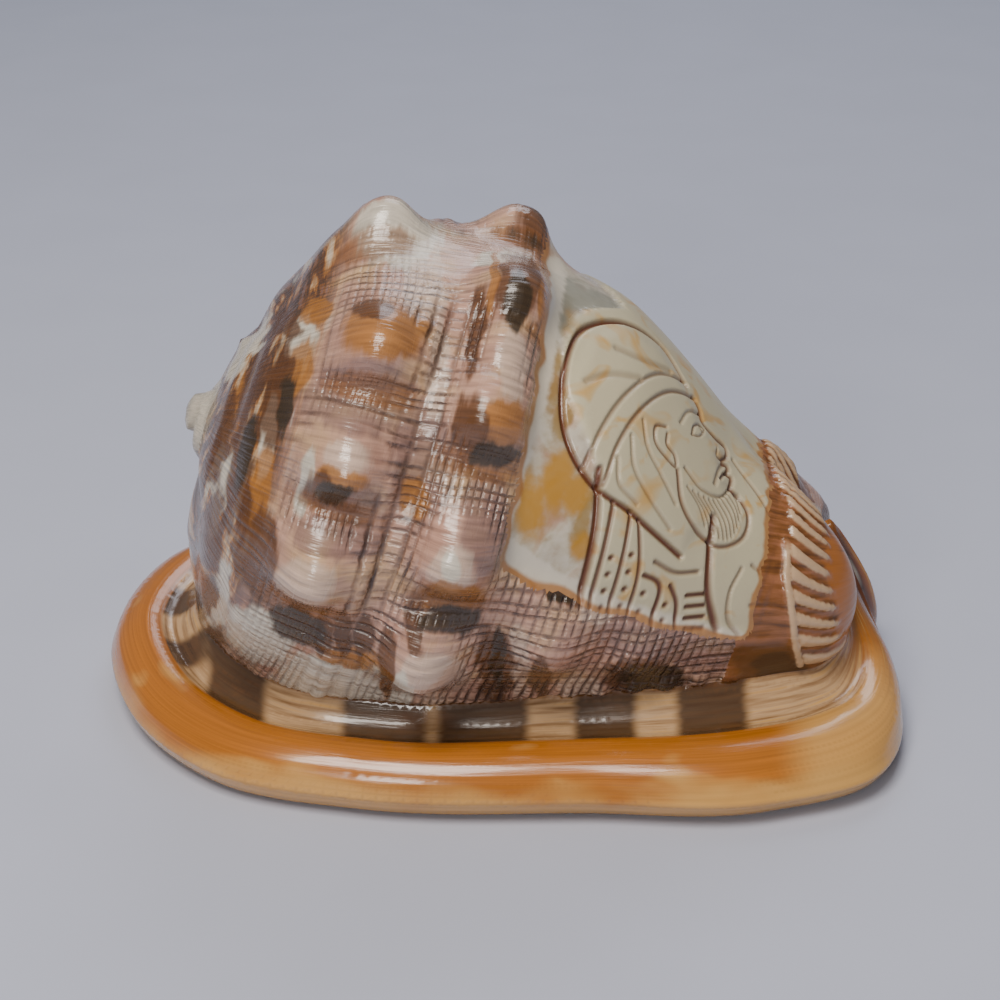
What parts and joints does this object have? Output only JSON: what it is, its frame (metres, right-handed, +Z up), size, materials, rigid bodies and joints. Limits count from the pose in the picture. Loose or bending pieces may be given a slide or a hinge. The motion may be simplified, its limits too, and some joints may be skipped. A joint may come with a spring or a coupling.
{
  "type": "carved cameo shell",
  "caption": "Whole helmet shell resting on its lips, with knobbed whorls, a toothed slot, a siphonal canal and a cameo window ground into its back.",
  "frame": {"origin": "on the resting plane, under the centre of the shell's outline", "axes": "+X from the spire to the siphonal canal, +Z up, the thick outer lip towards -Y and the broad inner lip towards +Y"},
  "size_m": [0.1506, 0.1084, 0.0957],
  "materials": {
    "shell": "polished natural shell: glossy orange lips, brown, pink and cream whorls, matt cream carving"
  },
  "bodies": {
    "root": {"helmet_shell": "shell"}
  },
  "joints": []
}
